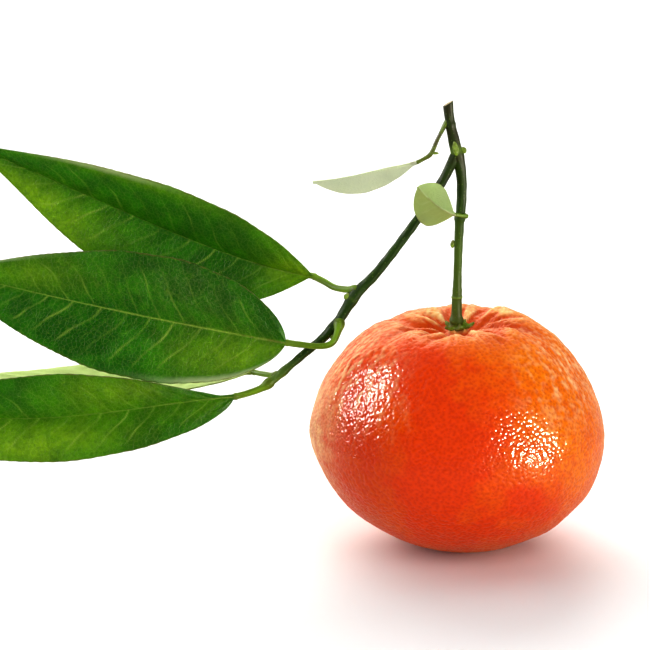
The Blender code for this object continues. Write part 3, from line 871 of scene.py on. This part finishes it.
def make_twig(material):
    samples = spline(TWIG_ROUTE, 0.16 * MM)
    relief = bark_relief(5, 3, 0.05 * MM, (
        (1.5, 1.6, 0.22), (38.5, 1.6, 0.20), (46.5, 1.2, 0.18), (60.5, 1.2, 0.16),
    ))

    def age(length):
        return np.clip(0.60 - 0.55 * smooth_step(2.0 * MM, 14.0 * MM, length), 0.0, 1.0)

    def scar(length):
        return 0.12 * ring_at(length, 38.6 * MM, 0.35 * MM) + 0.5 * smooth_step(54.0 * MM, 66.0 * MM, length)

    return make_stick("side_twig_bark", samples, material, "side_twig", relief, age, scar)


def bezier(handles, t):
    """Points on a cubic curve for an array of t, with a last axis of x, y, z."""
    start, first, second, end = handles
    s = 1.0 - t
    return start * s ** 3 + first * (3.0 * s * s * t) + second * (3.0 * s * t * t) + end * t ** 3


def bezier_direction(handles, t):
    start, first, second, end = handles
    s = 1.0 - t
    return unit((first - start) * s * s + (second - first) * (2.0 * s * t) + (end - second) * t * t)


def make_petiole(key, leaf, material):
    """A petiole that swells where it leaves its twig and runs on into the blade's midrib."""
    handles = np.array(leaf["midrib"])
    facing = unit(np.array(leaf["facing"][0]))
    small = key in SMALL_LEAVES
    thick = leaf["petiole"][-1][3]
    route = list(leaf["petiole"])
    for t, share in PETIOLE_TAIL:
        point = bezier(handles, np.array([[t]]))[0] - facing * (0.35 if small else 0.6) * thick
        route.append((*point, thick * share))
    samples = spline(route, 0.12 * MM)
    samples[:, 3] *= PETIOLE_FULLNESS
    swollen, joint = (0.12, 0.05) if small else (0.42, 0.10)
    total = np.linalg.norm(np.diff(samples[:, :3], axis=0), axis=1).sum()
    tail = np.linalg.norm(bezier(handles, np.array([[PETIOLE_TAIL[-1][0]]]))[0] - handles[0]) * MM
    relief = bark_relief(len(key) + 7, 4, 0.02 * MM, (
        (0.9, 1.3, swollen), ((total - tail) / MM - 0.4, 0.35, joint),
    ))

    def age(length):
        worn = 1.0 if key == "top" else 0.15
        worn = worn + 0.5 * ring_at(length, 0.6 * MM, 1.2 * MM)
        return np.clip(worn + 0.3 * ring_at(length, total - tail, 0.5 * MM), 0.0, 1.0)

    def scar(length):
        return 0.25 * smooth_step(0.3 * total, 0.9 * total, length)

    return make_stick("petiole_%s_skin" % key, samples, material, "petiole_" + key,
                      relief, age, scar, sides=28)


# ------------------------ leaf blades


def half_width(half, t):
    widest, base_power, tip_power = half[:3]
    peak = base_power / (base_power + tip_power)
    scale = peak ** base_power * (1.0 - peak) ** tip_power
    return np.maximum(widest * MM * t ** base_power * (1.0 - t) ** tip_power / scale, BLADE_TAIL)


def half_section(fold, curl, u):
    if abs(curl) < 0.001:
        return u * math.cos(fold), u * math.sin(fold)
    angle = fold - curl * u
    return (math.sin(fold) - np.sin(angle)) / curl, (np.cos(angle) - math.cos(fold)) / curl


def rim_mask(t, s, place, reach, which):
    """Where a stretch of margin rolls back, from 0 to 1."""
    return np.exp(-(((t - place) / reach) ** 2)) * smooth_step(0.86, 0.98, s * which)


def blade_sheet(leaf, t, s):
    """The blade's middle sheet over arrays t (along) and s (across), and its unit normals."""
    handles = np.array(leaf["midrib"]) * MM
    centre = bezier(handles, t)
    along = bezier_direction(handles, t)
    base_facing, tip_facing = (np.array(way) for way in leaf["facing"])
    side = unit(np.cross(along, base_facing + (tip_facing - base_facing) * t))
    outward = np.cross(side, along)
    u = np.abs(s)
    margin = 1.0 + 0.0035 * u * np.sin(2.0 * math.pi * (37.0 * t + np.sin(9.0 * t)))
    margin = margin + 0.009 * u * np.sin(2.0 * math.pi * 6.3 * t * (1.2 - 0.5 * t) + 2.1)
    sections = []
    for half in (leaf["up_half"], leaf["down_half"]):
        width = half_width(half, t) * margin
        fold, curl = (math.radians(angle) for angle in half[3:])
        sections.append([part * width for part in half_section(fold, curl, u)])
    up, down = sections
    sideways = np.where(s >= 0.0, up[0], -down[0])
    forwards = np.where(s >= 0.0, up[1], down[1])
    swing, count, phase = leaf["waves"]
    ripple = swing * MM * s * s * np.sin(math.pi * t) * np.sin(2.0 * math.pi * count * t + phase * s)
    for place, reach, which, roll in leaf["rims"]:
        ripple = ripple - roll * MM * rim_mask(t, s, place, reach, which) ** 1.5
    return centre + side * sideways + outward * (forwards + ripple)


def vein_pattern(leaf, t, s, length, seed):
    """Strength of the lateral veins from 0 to 1, and the pillows between them."""
    rng = np.random.default_rng(seed)
    u = np.abs(s)
    count = leaf["veins"]
    vein = np.zeros(np.broadcast(t, s).shape)
    pillow = np.zeros_like(vein)
    for sign in (-1.0, 1.0):
        here = np.sign(s + 1e-9) == sign
        phases = rng.uniform(0.0, 2.0 * math.pi, 3)
        bend = 0.095 * u + 0.035 * u ** 2
        phase = (t - bend) * count + 0.20 * np.sin(6.0 * t + phases[0]) + 0.10 * np.sin(17.0 * t + phases[1])
        phase = phase + 0.06 * np.sin(9.0 * u + 5.0 * t + phases[2]) + (0.5 if sign > 0 else 0.0)
        away = np.abs(phase - np.round(phase)) / count * length
        uneven = np.abs(np.sin(2.4 * np.round(phase) + 5.0 * sign)) ** 1.5
        strength = (0.90 - 0.30 * sign) * (0.35 + 0.65 * uneven)
        strength = strength * (0.70 + 0.30 * np.sin(9.0 * u + 3.0 * np.round(phase)))
        half_away = np.abs(phase - 0.5 - np.round(phase - 0.5)) / count * length
        fade = (1.0 - smooth_step(0.60, 0.92, u)) * smooth_step(-0.01, 0.04, t - bend)
        main = np.exp(-((away / VEIN_WIDTH) ** 2)) * fade * strength
        minor = MINOR_VEIN_STRENGTH * np.exp(-((half_away / MINOR_VEIN_WIDTH) ** 2))
        minor = minor * (1.0 - smooth_step(0.35, 0.75, u))
        vein = np.where(here, np.maximum(main, minor), vein)
        pillow = np.where(here, np.sin(math.pi * phase) ** 2 * np.sin(math.pi * np.minimum(u, 1.0)), pillow)
    return vein, pillow


def blade_faces(rows, width):
    """Quads over the front and back sheets of a blade, and along the margin between them."""
    front = grid_faces(rows, width)
    rim = np.concatenate([
        np.arange(width), np.arange(1, rows) * width + width - 1,
        (rows - 1) * width + np.arange(width - 2, -1, -1), np.arange(rows - 2, 0, -1) * width,
    ])
    ahead = np.roll(rim, -1)
    margin = np.stack([rim, ahead, ahead + rows * width, rim + rows * width], -1)
    return np.concatenate([front, front[:, ::-1] + rows * width, margin])


def blade_marks(leaf, t, s, vein, rib, vein_share):
    """The numbers that a blade's material needs, on its front sheet and then its back sheet."""
    flat = np.ones_like(vein)
    # Painted light above 0, painted shade below 0.
    glow = sum(strength * blot(t, s, *place) for *place, strength in leaf["glows"])
    marks = {
        "vein": vein * (1.0 - rib) * vein_share,
        "rib": rib,
        "edge": np.abs(s),
        "sunny": np.clip(glow, 0.0, 1.0),
        "deep": np.clip(-glow, 0.0, 1.0),
        "painted_glints": blot(t, s, *GLINT_PLACE) * leaf["painted_glints"],
        # painted rim light along the rolled margins
        "pale": np.maximum.reduce([0.0 * vein] + [rim_mask(t, s, *place) for *place, _ in leaf["rims"]]),
    }
    marks = {name: np.tile((values * flat).ravel(), 2) for name, values in marks.items()}
    below = (1.0, 0.0) if leaf["turned"] else (0.0, 1.0)
    marks["below"] = np.repeat(below, flat.size)
    return marks


def make_blade(key, leaf, material):
    small = key in SMALL_LEAVES
    stations, columns = (140, 24) if small else (430, 48)
    t = (0.5 - 0.5 * np.cos(math.pi * np.arange(stations + 1) / stations))[:, None, None]
    spread = np.arange(-columns, columns + 1) / columns
    s = (np.sign(spread) * np.abs(spread) ** 1.15)[None, :, None]
    sheet = blade_sheet(leaf, t, s)
    normal = unit(np.cross(np.gradient(sheet, axis=1), np.gradient(sheet, axis=0)))
    if np.mean(normal @ np.array(leaf["facing"][0])) < 0.0:
        normal = -normal
    t, s = t[..., 0], s[..., 0]
    line = bezier(np.array(leaf["midrib"]) * MM, np.linspace(0.0, 1.0, 60)[:, None])
    length = np.linalg.norm(np.diff(line, axis=0), axis=1).sum()
    vein, pillow = vein_pattern(leaf, t, s, length, 60 + stations + leaf["veins"])
    across = np.linalg.norm(sheet - sheet[:, columns:columns + 1], axis=-1)
    rib_width = MM * (0.20 if small else 0.26) * (1.05 - 0.75 * t)
    rib = np.exp(-((across / rib_width) ** 2))

    scale = 0.5 if small else 1.0
    half = 0.5 * BLADE_THICKNESS * scale * (1.0 - 0.45 * s ** 2)
    swelling = 0.05 * MM * swell(sheet, 5.0 * MM, 71) + 0.02 * MM * swell(sheet, 2.0 * MM, 72)
    quilt = QUILT_HEIGHT * pillow * (0.2 if small else 1.0)
    front = half + scale * MM * (0.07 * vein + (0.30 if small else 0.08) * rib) + quilt
    back = half + scale * MM * (0.05 * vein + 0.42 * rib * (1.05 - 0.8 * t)) - quilt
    if leaf["turned"]:
        front, back = back, front
    front_sheet = sheet + normal * (front + swelling)[..., None]
    back_sheet = sheet - normal * (back - swelling)[..., None]
    points = np.concatenate([front_sheet.reshape(-1, 3), back_sheet.reshape(-1, 3)])
    marks = blade_marks(leaf, t, s, vein, rib, 0.50 if small else 1.0)
    mesh = new_mesh("leaf_" + key, points, blade_faces(stations + 1, 2 * columns + 1), marks)
    return add_piece("leaf_%s_blade" % key, mesh, material, "leaf_" + key)


# ------------------------ buds


def make_bud(name, material):
    """A small pointed bud wrapped in overlapping scales."""
    centre, sizes, lean = BUDS[name]
    rows, columns = 34, 30
    level = np.linspace(-1.0, 1.0, rows)[:, None]
    angle = turn_angles(columns)[None, :]
    profile = np.sqrt(np.maximum(1.0 - level ** 2, 0.0)) * (1.0 - 0.25 * np.maximum(level, 0.0))
    scales = 1.0 + 0.10 * np.abs(np.sin(1.5 * angle + 2.2 * level))
    scales = scales + 0.07 * np.abs(np.sin(5.0 * level + angle))
    x = sizes[0] * profile * scales * np.cos(angle)
    y = sizes[1] * profile * scales * np.sin(angle)
    z = sizes[2] * level * np.ones_like(angle)
    turn = math.radians(lean)
    points = np.stack([
        x * math.cos(turn) + z * math.sin(turn), y, z * math.cos(turn) - x * math.sin(turn),
    ], -1)
    outward = unit(points)
    points = (points + np.array(centre)) * MM
    rough = BUD_ROUGHNESS * swell(points, 0.5 * MM, 81) * (profile > 0)
    points = points + outward * rough[..., None]
    tip = (level * np.ones_like(angle)).ravel()
    marks = {
        "age": np.clip(0.35 + 0.5 * tip, 0.0, 1.0),
        "scar": np.clip(0.5 * swell(points, 0.6 * MM, 82).ravel() - 0.2, 0.0, 0.6),
        "grain": points.reshape(-1, 3),
    }
    mesh = new_mesh(name, points, grid_faces(rows, columns, closed=True), marks)
    return add_piece(name + "_scales", mesh, material, name)


# ------------------------ set, light and camera


def make_floor():
    """A plain pale table, which throws a little less light on the fruit than it shows."""
    mesh = bpy.data.meshes.new("floor")
    half = FLOOR_SIZE / 2.0
    corners = [(-half, -half, 0.0), (half, -half, 0.0), (half, half, 0.0), (-half, half, 0.0)]
    mesh.from_pydata(corners, [], [(0, 1, 2, 3)])
    floor = add_object("floor", mesh)
    p = Paint("floor_white")
    sharp = p.calc("MAXIMUM", p.ray("Is Camera Ray"), p.ray("Is Glossy Ray"))
    mesh.materials.append(p.surface(p.mix(sharp, FLOOR_BOUNCE, FLOOR_SHOWN), 0.55, Specular_IOR_Level=0.2))
    floor.location.z = -FLOOR_DROP


def make_world():
    """A bright studio overhead and behind, darker on the camera's side and white to the camera."""
    world = bpy.data.worlds.new("studio")
    bpy.context.scene.world = world
    p = NodeTree(world, "Generated")
    split = p.add("SeparateXYZ", Vector=p.place)
    lean = 0.0
    for axis, weight in WORLD_WEIGHTS.items():
        lean = p.calc("ADD", lean, p.scaled(split.outputs[axis], weight))
    light = p.fade(lean, -0.1, 1.2, 0.08, 1.15)
    shine = p.fade(p.ray("Is Glossy Ray"), 0.0, 1.0, 1.0, WORLD_SHINE)
    seen = p.ray("Is Camera Ray")
    light = p.scaled(p.scaled(light, shine), p.calc("SUBTRACT", 1.0, seen))
    background = p.add("Background", Color=(1.0, 1.0, 1.0, 1.0), Strength=p.calc("ADD", light, seen))
    p.add("OutputWorld", Surface=background.outputs[0])


def fruit_middle():
    low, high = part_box("fruit")
    return (low + high) / 2.0


def add_lamp(name, kind, direction):
    """A light that shines from a direction."""
    light = bpy.data.lights.new(name, kind)
    lamp = add_object(name, light)
    lamp.rotation_euler = Vector(direction).to_track_quat("Z", "Y").to_euler()
    return light, lamp


def make_lights():
    """Wide soft suns with no reflection, and softboxes that are seen only as reflections."""
    for name, (direction, strength, angle) in SUNS.items():
        light, lamp = add_lamp(name, "SUN", direction)
        light.energy = strength
        light.angle = math.radians(angle)
        lamp.visible_glossy = False
    for name, (direction, distance, width, height, radiance, tint) in SOFTBOXES.items():
        light, lamp = add_lamp(name, "AREA", direction)
        light.shape = "RECTANGLE"
        light.size = width
        light.size_y = height
        light.energy = radiance * math.pi * width * height
        light.color = tint
        lamp.location = fruit_middle() + Vector(direction).normalized() * distance
        lamp.visible_diffuse = False


def make_camera():
    """A long lens that looks at the middle of the view, fruit right of centre and leaf tips cut off."""
    angle = math.radians(CAMERA_ELEVATION)
    forward = Vector((0.0, math.cos(angle), -math.sin(angle)))
    upward = Vector((0.0, math.sin(angle), math.cos(angle)))
    data = bpy.data.cameras.new("camera")
    data.lens = CAMERA_LENS
    data.sensor_width = 36.0
    camera = add_object("camera", data)
    target = fruit_middle() + Vector((CAMERA_ASIDE, 0.0, 0.0)) + upward * CAMERA_RISE
    camera.location = target - forward * CAMERA_DISTANCE
    camera.rotation_euler = (math.radians(90.0 - CAMERA_ELEVATION), 0.0, 0.0)
    bpy.context.scene.camera = camera


def main():
    bpy.context.scene.view_settings.view_transform = "Standard"
    bpy.context.scene.view_settings.gamma = GAMMA
    materials = make_materials()
    make_fruit(materials["peel"])
    make_calyx(materials["calyx_green"])
    make_stem(materials["bark"])
    make_twig(materials["bark"])
    for key, leaf in LEAVES.items():
        make_petiole(key, leaf, materials["petiole_green"])
        slot = LEAF_SLOTS.get(key, "leaf_dark")
        material = materials["leaf_rear" if key == "rear" else slot]
        make_blade(key, {**PLAIN_LEAF, **leaf}, material)
    for name in BUDS:
        make_bud(name, materials["bud_green"])
    make_floor()
    make_world()
    make_lights()
    make_camera()


main()
